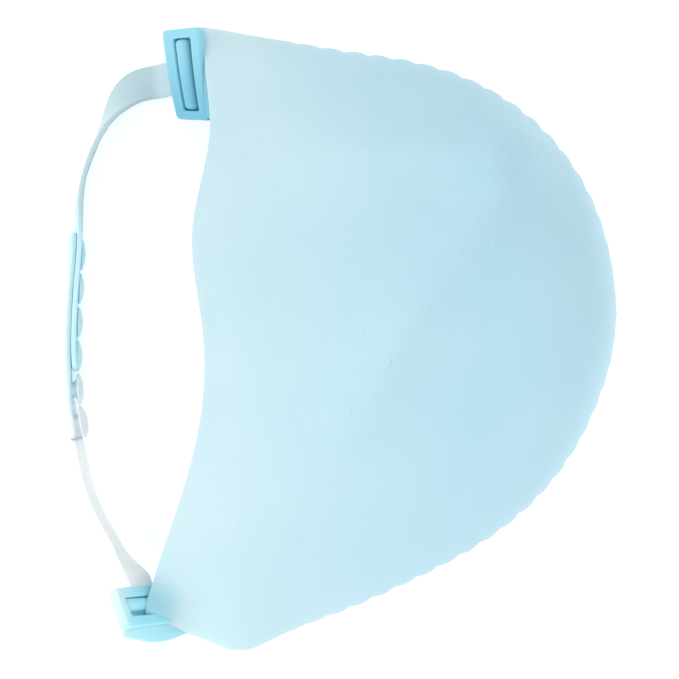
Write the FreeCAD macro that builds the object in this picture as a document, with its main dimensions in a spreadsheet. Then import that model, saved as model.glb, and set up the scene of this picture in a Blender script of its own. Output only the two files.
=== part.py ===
"""Silicone hair highlighting cap with a two-piece buttoned chin strap, lying on its back.

The cap is a soft half-dome of translucent silicone. It lies on a flat patch of its rear wall with the
crown towards +X and the head opening towards -X, so +Y and -Y are the wearer's two ears. At each ear the
rim carries a thick moulded frame. A T-shaped toggle at the end of each strap half sits in the slot of its
frame. The strap halves overlap at -X: a band with studs lies outside, and a band with holes lies inside.

Physical pieces: the cap (dome, rim bead and two ear frames, moulded in one shot), the hole strap (toggle,
band and tail) and the stud strap (toggle, band, tail and six studs).

Millimetres, +Z up. The origin is at the centre of the bounding box's bottom face.
"""

import FreeCAD, Part
import Sketcher
import math
import os

from FreeCAD import Placement, Rotation, Vector

DOC = FreeCAD.newDocument("highlighting_cap")
SHEET = DOC.addObject("Spreadsheet::Sheet", "sizes")

# ---------------------------------------------------------------------------------------------------
# Driving dimensions
# ---------------------------------------------------------------------------------------------------
DRIVING = [
    ("wall", 1.2, "dome wall"),
    ("bead_swell", 0.5, "how far the rim bead stands proud of the wall, inside and out"),
    ("bead_depth", 2.4, "width of the rim bead, along X"),
    ("crown_x", 110.4, "crown's furthest point"),
    ("crown_y", 10.0, "crown's offset to one side"),
    ("crown_z", 20.0, "height of the crown's furthest point"),
    ("fold_power", 1.3, "shape of the lens section: 1 is an ellipse, 2 a parabola"),
    ("web_thick", 2.4, "web between an ear frame and the rim"),
    ("web_inset", 1.5, "how far a web stops short of its frame's ends"),
    ("frame_length", 36.8, "ear frame, along the rim"),
    ("frame_width", 16.4, "ear frame, from the rim to the strap side"),
    ("frame_thick", 5.5, "ear frame"),
    ("slot_length", 29.2, "slot for the toggle bar"),
    ("slot_width", 7.8, "slot for the toggle bar"),
    ("frame_round", 1.2, "edge radius of the ear frame"),
    ("bar_length", 28.2, "toggle bar"),
    ("bar_radius", 3.2, "toggle bar"),
    ("bar_gap", 0.05, "between the toggle bar and the side of the slot that it is pulled against"),
    ("bar_round", 1.6, "edge radius at the toggle bar's ends"),
    ("neck_reach", 4.0, "how far the toggle's neck comes out of the frame"),
    ("neck_drop", 1.4, "how far the neck runs below the frame's middle"),
    ("neck_room", 0.5, "clearance beside the neck in the frame"),
    ("channel_top", -0.2, "roof of the neck's channel, above the frame's middle"),
    ("strap_width", 13.6, "both strap halves"),
    ("strap_thick", 2.0, "both strap halves"),
    ("strap_lean", 4.0, "degrees that the standing strap leans towards the cap"),
    ("strap_gap", 0.3, "air between the two buttoned tails"),
    ("hole_flex_gap", 4.4, "slit that stands for the flexing line beside the first ear, where the strap bends"),
    ("stud_flex_gap", 2.8, "slit that stands for the flexing line beside the second ear, where the strap twists"),
    ("tail_flex_gap", 1.0, "slit that stands for the flexing line between the stud tail and its band"),
    ("strap_x", -108.9, "middle of the stud tail"),
    ("strap_z", 7.3, "middle of the stud tail above the table"),
    ("stud_pitch", 13.6, "studs and holes"),
    ("stud_first", 34.0, "first stud's place along Y"),
    ("stud_radius", 2.6, "stud's stem"),
    ("stud_root_depth", 0.4, "how deep the stem's root would reach into a flat strap, before it is trimmed to it"),
    ("head_radius", 6.3, "stud's domed head"),
    ("head_height", 2.1, "stud's domed head"),
    ("head_lip", 0.5, "straight edge around the stud's head"),
    ("hole_radius", 3.0, "strap hole"),
    ("stud_tip", 42.8, "upper end of the stud tail along Y"),
    ("stud_root", -26.7, "lower end of the stud tail along Y"),
    ("hole_tip", -13.0, "lower end of the hole tail along Y"),
    ("hole_root", 50.0, "upper end of the hole tail along Y"),
    ("band_lead", 2.5, "straight run at either end of a band"),
    ("tip_round", 4.0, "corner radius at the strap tips"),
]
STUDS = 6
HOLES = 4

for row, (alias, value, note) in enumerate(DRIVING, start=1):
    SHEET.set(f"A{row}", note)
    SHEET.set(f"B{row}", str(value))
    SHEET.setAlias(f"B{row}", alias)
DOC.recompute()


def size(alias):
    """A driving dimension, read back from the sheet."""
    return float(SHEET.get(alias))


# ---------------------------------------------------------------------------------------------------
# Dome: a lens section, wide in Y and flattened below, that runs from the head opening to the crown
# ---------------------------------------------------------------------------------------------------
# x, y at one ear's fold, y at the other's, height of the fold, rise of the top above it, drop of the rear
# wall below it (more than the fold's height, where the wall lies flat on the table)
DOME_STATIONS = [
    (-88.0, 111.0, -108.0, 11.0, 22.0, 14.0),
    (-70.0, 122.0, -116.0, 11.0, 25.0, 15.0),
    (-55.0, 125.0, -120.4, 11.0, 27.5, 15.5),
    (-40.0, 122.8, -125.2, 11.0, 29.5, 16.0),
    (-25.0, 120.2, -119.8, 11.5, 31.5, 17.0),
    (2.0, 115.4, -108.6, 12.5, 36.0, 19.0),
    (31.0, 110.6, -95.6, 14.0, 40.0, 21.5),
    (58.0, 100.8, -80.6, 16.0, 42.0, 24.0),
    (78.0, 86.8, -64.2, 18.0, 40.0, 25.5),
    (94.0, 67.8, -43.4, 19.0, 33.5, 23.5),
    (103.6, 48.0, -23.0, 20.0, 24.5, 18.0),
    (108.8, 27.2, -4.6, 20.0, 13.0, 10.0),
    (110.1, 16.8, 3.6, 20.0, 5.6, 4.4),
]
# Plan of the head opening's edge, from beyond one ear to beyond the other
RIM_PLAN = [
    (-58, 140), (-54.6, 122), (-52.4, 104), (-50.6, 84), (-57.4, 42),
    (-53, 2), (-56.2, -42), (-66, -74), (-76, -106), (-80, -140),
]
SECTION_POINTS = 24
WIDEST_X = 40.0
FAR = 200.0
FLOOR_ROOM = 10.0


def chord_marks(points):
    """Curve parameters for the points, measured along the chords between them."""
    marks = [0.0]
    for a, b in zip(points, points[1:]):
        marks.append(marks[-1] + a.distanceToPoint(b))
    return marks


def lens_points(station, inset):
    """One closed section of the dome. The inset moves it inwards, and towards the crown more and more along X."""
    x, y_high, y_low, fold, rise, drop = station
    lean = max(0.0, (x - WIDEST_X) / (size("crown_x") - WIDEST_X)) ** 2
    sideways = inset * math.sqrt(1 - lean * lean)
    half = (y_high - y_low) / 2 - sideways
    middle = (y_high + y_low) / 2
    points = []
    for k in range(SECTION_POINTS):
        turn = 2 * math.pi * k / SECTION_POINTS
        depth = (rise if math.sin(turn) > 0 else drop) - sideways
        lift = math.copysign(depth * abs(math.sin(turn)) ** size("fold_power"), math.sin(turn))
        points.append(Vector(x - inset * lean, middle + half * math.cos(turn), fold + lift))
    return points


def lens_wire(station, inset, marks):
    curve = Part.BSplineCurve()
    curve.interpolate(Points=lens_points(station, inset), PeriodicFlag=True, Parameters=marks)
    return Part.Wire([curve.toShape()])


def dome_solid(inset):
    """The dome's outer surface moved in by inset, as a solid that ends at the crown and is flat below."""
    around = lens_points(DOME_STATIONS[len(DOME_STATIONS) // 2], 0)
    marks = chord_marks(around + [around[0]])
    wires = [lens_wire(station, inset, marks) for station in DOME_STATIONS]
    crown = Part.Vertex(size("crown_x") - inset, size("crown_y"), size("crown_z"))
    body = Part.makeLoft(wires + [crown], True, False)
    below = Part.makeBox(2 * FAR, 2 * FAR, FAR, Vector(-FAR, -FAR, max(inset, 0) - FAR))
    return body.cut(below)


def smooth_curve(points):
    """A smooth curve through the points."""
    curve = Part.BSplineCurve()
    curve.interpolate(Points=points, Parameters=chord_marks(points))
    return curve


def rim_curve(shift):
    """The head opening's edge in plan, moved along X by shift."""
    return smooth_curve([Vector(x + shift, y, -FLOOR_ROOM) for x, y in RIM_PLAN])


def plan_prism(edges):
    """The closed outline as a tall prism through the whole cap."""
    return Part.Face(Part.Wire(edges)).extrude(Vector(0, 0, FAR))


def opening_prism(shift):
    """Everything on the open side of the rim's plan, moved along X by shift."""
    curve = rim_curve(shift)
    start, end = curve.StartPoint, curve.EndPoint
    left_top = Vector(-FAR, start.y, start.z)
    left_low = Vector(-FAR, end.y, end.z)
    return plan_prism([
        curve.toShape(),
        Part.makeLine(end, left_low),
        Part.makeLine(left_low, left_top),
        Part.makeLine(left_top, start),
    ])


def rim_strip(depth):
    """A strip of that depth along the rim's plan."""
    front, back = rim_curve(0), rim_curve(depth)
    return plan_prism([
        front.toShape(),
        Part.makeLine(front.EndPoint, back.EndPoint),
        back.toShape(),
        Part.makeLine(back.StartPoint, front.StartPoint),
    ])


def largest_solid(shape):
    return max(shape.Solids, key=lambda solid: solid.Volume)


def feature(label, shape, placement=None):
    """A document object for a free-form shape."""
    made = DOC.addObject("Part::Feature", label)
    made.Label = label
    made.Shape = shape
    if placement:
        made.Placement = placement
    return made


def make_cap_dome(moulded):
    """The thin wall of the dome, behind the rim bead and around the moulded frames."""
    wall = dome_solid(0).cut(dome_solid(size("wall")))
    wall = wall.cut(opening_prism(size("bead_depth"))).cut(moulded)
    return feature("cap_dome", largest_solid(wall))


def make_rim_bead(moulded):
    """The thicker edge all round the head opening, around the moulded frames."""
    swell = size("bead_swell")
    thick_wall = dome_solid(-swell).cut(dome_solid(size("wall") + swell))
    return feature("rim_bead", largest_solid(thick_wall.common(rim_strip(size("bead_depth"))).cut(moulded)))


# ---------------------------------------------------------------------------------------------------
# Frames and toggles, drawn flat: X along the rim, Y towards the strap, Z out of the visible face
# ---------------------------------------------------------------------------------------------------
def unit(x, y, z):
    v = Vector(x, y, z)
    v.normalize()
    return v


def seat(middle, along, towards_strap):
    """The placement that takes a flat drawing to its ear, square even if the two directions are not quite."""
    x_axis = unit(*along)
    y_axis = Vector(*towards_strap)
    y_axis = y_axis - x_axis * y_axis.dot(x_axis)
    y_axis.normalize()
    return Placement(Vector(*middle), Rotation(x_axis, y_axis, x_axis.cross(y_axis), "XYZ"))


HOLE_SEAT = seat((-60.3, 105.8, 15.6), (-0.152, 0.988, 0.0), (-0.80, -0.12, -0.59))
STUD_SEAT = seat((-77.6, -107.4, 20.0), (0.62, -0.036, -0.784), (-0.265, 0.910, -0.317))


def bind(thing, name, formula):
    thing.setExpression(name, formula)


def plane_of(body, role):
    for item in body.Origin.OriginFeatures:
        if item.Role == role:
            return item
    raise ValueError(role)


def new_body(label):
    body = DOC.addObject("PartDesign::Body", label)
    body.Label = label
    return body


def sketch_on(body, role, name):
    sketch = body.newObject("Sketcher::SketchObject", name)
    sketch.AttachmentSupport = [(plane_of(body, role), "")]
    sketch.MapMode = "FlatFace"
    return sketch


def rectangle(sketch, width, height, width_formula, height_formula, centre=(0, 0), centre_formula=None):
    """A constrained rectangle about its centre, with its two sizes bound to the sheet."""
    cx, cy = centre
    corners = [
        Vector(cx - width / 2, cy - height / 2, 0),
        Vector(cx + width / 2, cy - height / 2, 0),
        Vector(cx + width / 2, cy + height / 2, 0),
        Vector(cx - width / 2, cy + height / 2, 0),
    ]
    first = sketch.GeometryCount
    for k in range(4):
        sketch.addGeometry(Part.LineSegment(corners[k], corners[(k + 1) % 4]), False)
    for k in range(4):
        sketch.addConstraint(Sketcher.Constraint("Coincident", first + k, 2, first + (k + 1) % 4, 1))
    for k in (0, 2):
        sketch.addConstraint(Sketcher.Constraint("Horizontal", first + k))
    for k in (1, 3):
        sketch.addConstraint(Sketcher.Constraint("Vertical", first + k))
    named = [
        ("DistanceX", first, 1, first, 2, width, width_formula),
        ("DistanceY", first + 1, 1, first + 1, 2, height, height_formula),
    ]
    for kind, a, pa, b, pb, value, formula in named:
        index = sketch.addConstraint(Sketcher.Constraint(kind, a, pa, b, pb, value))
        sketch.setExpression(f"Constraints[{index}]", formula)
    left = sketch.addConstraint(Sketcher.Constraint("DistanceX", first, 1, -1, 1, width / 2 - cx))
    low = sketch.addConstraint(Sketcher.Constraint("DistanceY", first, 1, -1, 1, height / 2 - cy))
    left_formula, low_formula = centre_formula or (f"({width_formula}) / 2", f"({height_formula}) / 2")
    sketch.setExpression(f"Constraints[{left}]", left_formula)
    sketch.setExpression(f"Constraints[{low}]", low_formula)


def make_frame(label, placement):
    """A thick rectangular frame with a through slot, and a channel under it for the toggle's neck."""
    body = new_body(label)
    outline = sketch_on(body, "XY_Plane", label + "_outline")
    rectangle(outline, size("frame_length"), size("frame_width"), "sizes.frame_length", "sizes.frame_width")
    pad = body.newObject("PartDesign::Pad", label + "_block")
    pad.Profile = outline
    pad.Midplane = True
    bind(pad, "Length", "sizes.frame_thick")
    DOC.recompute()
    rounded = body.newObject("PartDesign::Fillet", label + "_edges")
    rounded.Base = (pad, [f"Edge{k + 1}" for k in range(len(pad.Shape.Edges))])
    bind(rounded, "Radius", "sizes.frame_round")
    slot = sketch_on(body, "XY_Plane", label + "_slot")
    rectangle(slot, size("slot_length"), size("slot_width"), "sizes.slot_length", "sizes.slot_width")
    pocket = body.newObject("PartDesign::Pocket", label + "_slot_cut")
    pocket.Profile = slot
    pocket.Type = "Length"
    pocket.Midplane = True
    bind(pocket, "Length", "sizes.frame_thick * 2")
    DOC.recompute()
    before = body.Shape.Volume
    channel = sketch_on(body, "XZ_Plane", label + "_channel")
    width = size("strap_width") + 2 * size("neck_room")
    height = size("frame_thick") / 2 + size("channel_top")
    rectangle(
        channel, width, height,
        "sizes.strap_width + 2 * sizes.neck_room", "sizes.frame_thick / 2 + sizes.channel_top",
        (0, size("channel_top") - height / 2), ("sizes.strap_width / 2 + sizes.neck_room", "sizes.frame_thick / 2"),
    )
    cut = body.newObject("PartDesign::Pocket", label + "_channel_cut")
    cut.Profile = channel
    cut.Type = "Length"
    cut.Reversed = False
    bind(cut, "Length", "sizes.frame_width")
    DOC.recompute()
    if body.Shape.Volume > before - 1:
        cut.Reversed = True
        DOC.recompute()
    body.Placement = placement
    return body


def pulled_by():
    """How far the strap's pull moves the toggle from the middle of its slot."""
    return size("slot_width") / 2 - size("bar_radius") - size("bar_gap")


def make_toggle(label, placement):
    """The strap half's T-shaped end: a round bar, and a flat neck that runs out under the frame's bar."""
    body = new_body(label)
    outline = sketch_on(body, "YZ_Plane", label + "_bar_outline")
    outline.addGeometry(Part.Circle(Vector(0, 0, 0), Vector(0, 0, 1), size("bar_radius")), False)
    outline.addConstraint(Sketcher.Constraint("Coincident", 0, 3, -1, 1))
    index = outline.addConstraint(Sketcher.Constraint("Radius", 0, size("bar_radius")))
    outline.setExpression(f"Constraints[{index}]", "sizes.bar_radius")
    bar = body.newObject("PartDesign::Pad", label + "_bar")
    bar.Profile = outline
    bar.Midplane = True
    bind(bar, "Length", "sizes.bar_length")
    DOC.recompute()
    ends = [f"Edge{k + 1}" for k, e in enumerate(bar.Shape.Edges) if isinstance(e.Curve, Part.Circle)]
    rounded = body.newObject("PartDesign::Fillet", label + "_bar_ends")
    rounded.Base = (bar, ends)
    bind(rounded, "Radius", "sizes.bar_round")
    DOC.recompute()
    reach = size("frame_width") / 2 + size("neck_reach")
    flat = sketch_on(body, "XY_Plane", label + "_neck_outline")
    rectangle(
        flat, size("strap_width"), reach, "sizes.strap_width", "sizes.frame_width / 2 + sizes.neck_reach",
        (0, reach / 2), ("sizes.strap_width / 2", "0 * sizes.strap_width"),
    )
    flat.AttachmentOffset = Placement(Vector(0, 0, -size("neck_drop")), Rotation())
    bind(flat, "AttachmentOffset.Base.z", "-sizes.neck_drop")
    neck = body.newObject("PartDesign::Pad", label + "_neck")
    neck.Profile = flat
    neck.Midplane = True
    bind(neck, "Length", "sizes.strap_thick")
    DOC.recompute()
    body.Placement = placement.multiply(Placement(Vector(0, pulled_by(), 0), Rotation()))
    return body


def slot_plug(placement):
    """The room inside a frame's slot, which the dome's wall stays out of."""
    length, width, height = size("slot_length"), size("slot_width"), 2 * size("bar_radius")
    plug = Part.makeBox(length, width, height, Vector(-length / 2, -width / 2, -height / 2))
    plug.Placement = placement
    return plug


# A web joins each frame's rim side to the cap. Its far edge, from the frame's local -X end to its +X end:
HOLE_WEB_EDGE = [Vector(-49.4, 90.4, 27.4), Vector(-51.0, 104.0, 22.6), Vector(-53.0, 120.6, 14.6)]
STUD_WEB_EDGE = [
    Vector(-85.2, -117.2, 31.4), Vector(-77.6, -120.0, 24.0), Vector(-69.4, -120.8, 16.4), Vector(-60.4, -117.8, 10.8),
]


def make_web(label, placement, far_edge, frame, cap_outside):
    """A thick skirt from the rim side of a frame to the far edge, trimmed to the frame and the cap."""
    half = size("frame_length") / 2 - size("web_inset")
    lift = placement.Rotation.multVec(Vector(0, 0, size("web_thick") / 2))
    wires = []
    for k, far in enumerate(far_edge):
        along = half * (2 * k / (len(far_edge) - 1) - 1)
        near = placement.multVec(Vector(along, size("frame_round") - size("frame_width") / 2, 0))
        wires.append(Part.makePolygon([near - lift, far - lift, far + lift, near + lift, near - lift]))
    web = Part.makeLoft(wires, True, False)
    return feature(label, largest_solid(web.cut(frame.Shape).cut(cap_outside)))


# ---------------------------------------------------------------------------------------------------
# Tails: the straight, buttoned ends of the strap halves, drawn standing: X through the strap, Y along it
# ---------------------------------------------------------------------------------------------------
LEAN = Rotation(Vector(0, 1, 0), size("strap_lean"))
TAIL_SEAT = Placement(Vector(size("strap_x"), 0, size("strap_z")), LEAN)
ACROSS = LEAN.multVec(Vector(0, 0, 1))
STUD_TAIL_MIDDLE = 0.0
HOLE_TAIL_MIDDLE = size("strap_thick") + size("strap_gap")


def tail_plate(label, middle, low, high, round_high):
    """A strip standing on edge, from low to high along Y, with two round corners at its free tip."""
    body = new_body(label)
    outline = sketch_on(body, "YZ_Plane", label + "_outline")
    length = size(high) - size(low)
    rectangle(
        outline, length, size("strap_width"), f"sizes.{high} - sizes.{low}", "sizes.strap_width",
        ((size(high) + size(low)) / 2, 0), (f"-sizes.{low}", "sizes.strap_width / 2"),
    )
    outline.AttachmentOffset = Placement(Vector(0, 0, middle), Rotation())
    strip = body.newObject("PartDesign::Pad", label + "_strip")
    strip.Profile = outline
    strip.Midplane = True
    bind(strip, "Length", "sizes.strap_thick")
    DOC.recompute()
    tip = size(high) if round_high else size(low)
    corners = [
        f"Edge{k + 1}" for k, e in enumerate(strip.Shape.Edges)
        if all(abs(v.Point.y - tip) < 1e-6 for v in e.Vertexes) and abs(e.BoundBox.XLength) > 1e-6
    ]
    rounded = body.newObject("PartDesign::Fillet", label + "_tip")
    rounded.Base = (strip, corners)
    bind(rounded, "Radius", "sizes.tip_round")
    DOC.recompute()
    return body


def make_stud_tail():
    body = tail_plate("stud_strap_tail", STUD_TAIL_MIDDLE, "stud_root", "stud_tip", True)
    body.Placement = TAIL_SEAT
    return body


def make_hole_tail():
    """The inner tail, with a row of round holes at the studs' pitch."""
    label = "hole_strap_tail"
    body = tail_plate(label, HOLE_TAIL_MIDDLE, "hole_tip", "hole_root", False)
    first = size("stud_first")
    ring = sketch_on(body, "YZ_Plane", label + "_hole")
    ring.addGeometry(Part.Circle(Vector(first, 0, 0), Vector(0, 0, 1), size("hole_radius")), False)
    ring.addConstraint(Sketcher.Constraint("PointOnObject", 0, 3, -1))
    across = ring.addConstraint(Sketcher.Constraint("Radius", 0, size("hole_radius")))
    ring.setExpression(f"Constraints[{across}]", "sizes.hole_radius")
    along = ring.addConstraint(Sketcher.Constraint("DistanceX", -1, 1, 0, 3, first))
    ring.setExpression(f"Constraints[{along}]", "sizes.stud_first")
    hole = body.newObject("PartDesign::Pocket", label + "_hole_cut")
    hole.Profile = ring
    hole.Type = "Length"
    hole.Midplane = True
    bind(hole, "Length", "sizes.strap_thick * 6")
    DOC.recompute()
    row = body.newObject("PartDesign::LinearPattern", label + "_row")
    row.Originals = [hole]
    row.Direction = (plane_of(body, "Y_Axis"), [""])
    row.Reversed = True
    bind(row, "Length", f"sizes.stud_pitch * {HOLES - 1}")
    row.Occurrences = HOLES
    body.Tip = row
    DOC.recompute()
    body.Placement = TAIL_SEAT
    return body


def tail_stud_spot(number):
    """Where a stud stands on the tail: X off its inner face, Y along it."""
    along = size("stud_first") - (number - 1) * size("stud_pitch")
    return TAIL_SEAT.multiply(Placement(Vector(0, along, 0), Rotation()))


def make_stud(number, spot, carrier):
    """A mushroom stud: a stem through the hole, and a domed head that the hole has to stretch over."""
    root = size("strap_thick") / 2 - size("stud_root_depth")
    under_head = size("strap_thick") * 1.5 + 2 * size("strap_gap")
    rise = size("head_height") - size("head_lip")
    dome_radius = (size("head_radius") ** 2 + rise ** 2) / (2 * rise)
    outward = Vector(1, 0, 0)
    stem = Part.makeCylinder(size("stud_radius"), under_head - root, Vector(root, 0, 0), outward)
    disc = Part.makeCylinder(size("head_radius"), size("head_height"), Vector(under_head, 0, 0), outward)
    dome = Part.makeSphere(dome_radius, Vector(under_head + size("head_height") - dome_radius, 0, 0))
    shape = stem.fuse(disc.common(dome)).Solids[0]
    shape.Placement = spot
    return feature(f"stud_{number}", shape.cut(carrier.Shape))


# ---------------------------------------------------------------------------------------------------
# Bands: the curved, twisting stretches between the toggles and the tails
# ---------------------------------------------------------------------------------------------------
BAND_SECTIONS = 15
TOWARDS_STRAP = Vector(0, 1, 0)
NECK_ACROSS = Vector(-1, 0, 0)


def strap_section(middle, along, across):
    """The strap's rectangular outline at one place of its path."""
    run = unit(*along)
    side = across - run * across.dot(run)
    side.normalize()
    through = run.cross(side)
    half_width, half_thick = size("strap_width") / 2, size("strap_thick") / 2
    corners = [
        middle + side * (a * half_width) + through * (b * half_thick)
        for a, b in ((-1, -1), (1, -1), (1, 1), (-1, 1))
    ]
    return Part.makePolygon(corners + [corners[0]])


def band_curve(route, leaving, arriving):
    """The smooth middle line of a band, which leaves and arrives straight."""
    lead = size("band_lead")
    return smooth_curve([route[0], route[0] + leaving * lead] + route[1:-1] + [route[-1] - arriving * lead, route[-1]])


def make_band(label, curve, across_start, across_end, twist_share):
    """A ribbon along a curve, whose width turns from across_start to across_end over twist_share of it."""
    wires = []
    for k in range(BAND_SECTIONS):
        share = k / (BAND_SECTIONS - 1)
        where = curve.FirstParameter + share * (curve.LastParameter - curve.FirstParameter)
        turn = min(1.0, share / twist_share)
        turn = turn * turn * (3 - 2 * turn)
        across = across_start * (1 - turn) + across_end * turn
        wires.append(strap_section(curve.value(where), curve.tangent(where)[0], across))
    return feature(label, Part.makeLoft(wires, True, False))


def neck_end(placement, beyond):
    """A point on the neck's middle line, beyond its end."""
    reach = size("frame_width") / 2 + size("neck_reach") + pulled_by() + beyond
    return placement.multVec(Vector(0, reach, -size("neck_drop")))


HOLE_FLEX = neck_end(HOLE_SEAT, size("hole_flex_gap") / 2)
STUD_FLEX = neck_end(STUD_SEAT, size("stud_flex_gap") / 2)


def tail_point(layer_middle, y):
    return TAIL_SEAT.multVec(Vector(layer_middle, y, 0))


def make_hole_band():
    """From the first ear's flex line down to the hole tail, turning from flat to standing."""
    route = [
        neck_end(HOLE_SEAT, size("hole_flex_gap")),
        Vector(-80.6, 102.0, 5.6),
        Vector(-86.6, 97.8, 6.6),
        Vector(-91.8, 91.0, 6.9),
        Vector(-98.0, 78.4, 7.1),
        Vector(-102.6, 65.8, 7.2),
        tail_point(HOLE_TAIL_MIDDLE, size("hole_root")),
    ]
    curve = band_curve(route, HOLE_SEAT.Rotation.multVec(TOWARDS_STRAP), Vector(0, -1, 0))
    return make_band("hole_strap_band", curve, HOLE_SEAT.Rotation.multVec(NECK_ACROSS), ACROSS, 0.75)


def stud_band_curve():
    """The stud band's middle line, from the second ear's flex line to the stud tail."""
    route = [
        neck_end(STUD_SEAT, size("stud_flex_gap")),
        Vector(-85.8, -88.6, 11.6),
        Vector(-91.0, -80.6, 9.4),
        Vector(-96.6, -71.0, 8.0),
        Vector(-101.9, -58.6, 7.4),
        Vector(-105.9, -45.0, 7.2),
        tail_point(STUD_TAIL_MIDDLE, size("stud_root") - size("tail_flex_gap")),
    ]
    return band_curve(route, STUD_SEAT.Rotation.multVec(TOWARDS_STRAP), Vector(0, 1, 0))


def make_stud_band(curve):
    """From the second ear's flex line up to the stud tail, turning from slanted to standing."""
    return make_band("stud_strap_band", curve, STUD_SEAT.Rotation.multVec(NECK_ACROSS), ACROSS, 0.8)


def last_stud_spot(curve):
    """Where the last stud stands, on the band instead of the tail: X off its inner face, Y along it."""
    low, high = curve.FirstParameter, curve.LastParameter
    wanted = size("stud_first") - (STUDS - 1) * size("stud_pitch")
    for _ in range(40):
        middle = (low + high) / 2
        if curve.value(middle).y < wanted:
            low = middle
        else:
            high = middle
    along = curve.tangent(middle)[0]
    off_face = along.cross(ACROSS)
    return Placement(curve.value(middle), Rotation(off_face, along, off_face.cross(along), "YXZ"))


# ---------------------------------------------------------------------------------------------------
# Build, check and export
# ---------------------------------------------------------------------------------------------------
hole_frame = make_frame("hole_side_frame", HOLE_SEAT)
stud_frame = make_frame("stud_side_frame", STUD_SEAT)
cap_outside = dome_solid(-size("bead_swell")).cut(opening_prism(0))
hole_web = make_web("hole_side_web", HOLE_SEAT, HOLE_WEB_EDGE, hole_frame, cap_outside)
stud_web = make_web("stud_side_web", STUD_SEAT, STUD_WEB_EDGE, stud_frame, cap_outside)
hole_toggle = make_toggle("hole_strap_toggle", HOLE_SEAT)
stud_toggle = make_toggle("stud_strap_toggle", STUD_SEAT)
moulded = hole_frame.Shape.multiFuse([
    stud_frame.Shape, hole_toggle.Shape, stud_toggle.Shape, slot_plug(HOLE_SEAT), slot_plug(STUD_SEAT),
])
stud_curve = stud_band_curve()
stud_tail = make_stud_tail()
stud_band = make_stud_band(stud_curve)

NODES = [
    make_cap_dome(moulded),
    make_rim_bead(moulded),
    hole_frame,
    stud_frame,
    hole_web,
    stud_web,
    hole_toggle,
    stud_toggle,
    make_hole_band(),
    make_hole_tail(),
    stud_band,
    stud_tail,
]
NODES += [make_stud(k, tail_stud_spot(k), stud_tail) for k in range(1, STUDS)]
NODES.append(make_stud(STUDS, last_stud_spot(stud_curve), stud_band))
DOC.recompute()

for item in DOC.Objects:
    if "Invalid" in item.State or "Error" in item.State:
        raise RuntimeError(f"{item.Name} failed: {item.State}")
os.makedirs("parts", exist_ok=True)
for node in NODES:
    shape = node.Shape
    if shape.isNull() or not shape.isValid() or len(shape.Solids) != 1 or shape.Volume <= 0:
        raise RuntimeError(f"{node.Label} is not one valid solid")
    shape.exportStep(os.path.join("parts", node.Label + ".step"))
    box = shape.BoundBox
    print(
        f"{node.Label:20s} solids {len(shape.Solids)} volume {shape.Volume:9.1f}"
        f"  x {box.XMin:7.1f} {box.XMax:7.1f}  y {box.YMin:7.1f} {box.YMax:7.1f}  z {box.ZMin:6.2f} {box.ZMax:6.2f}"
    )
axis = HOLE_FLEX - STUD_FLEX
axis.normalize()
print("swing line through", tuple(round(c, 3) for c in STUD_FLEX), tuple(round(c, 3) for c in HOLE_FLEX))
print("swing axis", tuple(round(c, 5) for c in axis))
print("across", tuple(round(c, 5) for c in ACROSS))
print("stud tail flex", tuple(round(c, 3) for c in tail_point(0, size("stud_root") - size("tail_flex_gap") / 2)))
print("hole tail flex", tuple(round(c, 3) for c in tail_point(HOLE_TAIL_MIDDLE, size("hole_root"))))
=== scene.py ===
"""Looks of a silicone highlighting cap with a buttoned chin strap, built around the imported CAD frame.

The cap lies on its back. +X runs from the head opening to the crown, +Z is up. Lengths below are in
millimetres until a mesh is made.
"""

import math

import bmesh
import bpy
import numpy as np
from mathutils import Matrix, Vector
from mathutils.bvhtree import BVHTree


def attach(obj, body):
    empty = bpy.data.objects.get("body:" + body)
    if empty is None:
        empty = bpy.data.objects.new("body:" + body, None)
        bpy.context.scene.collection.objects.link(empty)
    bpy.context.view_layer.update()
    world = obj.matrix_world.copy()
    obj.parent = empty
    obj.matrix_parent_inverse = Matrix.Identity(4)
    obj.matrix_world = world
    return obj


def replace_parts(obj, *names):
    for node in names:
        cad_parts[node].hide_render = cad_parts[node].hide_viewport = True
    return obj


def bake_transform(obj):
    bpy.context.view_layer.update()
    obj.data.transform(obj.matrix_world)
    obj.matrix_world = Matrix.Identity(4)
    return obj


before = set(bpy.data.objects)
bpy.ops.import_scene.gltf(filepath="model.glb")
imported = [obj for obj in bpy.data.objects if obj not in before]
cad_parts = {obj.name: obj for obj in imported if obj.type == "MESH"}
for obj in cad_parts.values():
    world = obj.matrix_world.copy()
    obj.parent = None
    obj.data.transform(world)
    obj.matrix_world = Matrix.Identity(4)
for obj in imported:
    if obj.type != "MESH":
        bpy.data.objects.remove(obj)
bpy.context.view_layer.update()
MM = 0.001


# ---------------------------------------------------------------------------------------------------
# Curves and meshes
# ---------------------------------------------------------------------------------------------------
def spline(marks, values):
    """A natural cubic spline through rows of values at the marks, as a function of an array of marks."""
    x = np.asarray(marks, float)
    y = np.asarray(values, float)
    h = np.diff(x)
    n = len(x)
    system = np.eye(n)
    right = np.zeros_like(y)
    for i in range(1, n - 1):
        system[i, i - 1] = h[i - 1]
        system[i, i] = 2 * (h[i - 1] + h[i])
        system[i, i + 1] = h[i]
        right[i] = 6 * ((y[i + 1] - y[i]) / h[i] - (y[i] - y[i - 1]) / h[i - 1])
    bend = np.linalg.solve(system, right)

    def at(t):
        """The rows of values at these marks."""
        t = np.asarray(t, float)
        k = np.clip(np.searchsorted(x, t) - 1, 0, n - 2)
        a = ((x[k + 1] - t) / h[k])[..., None]
        b = 1 - a
        step = (h[k] ** 2)[..., None]
        return a * y[k] + b * y[k + 1] + ((a ** 3 - a) * bend[k] + (b ** 3 - b) * bend[k + 1]) * step / 6

    return at


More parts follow.
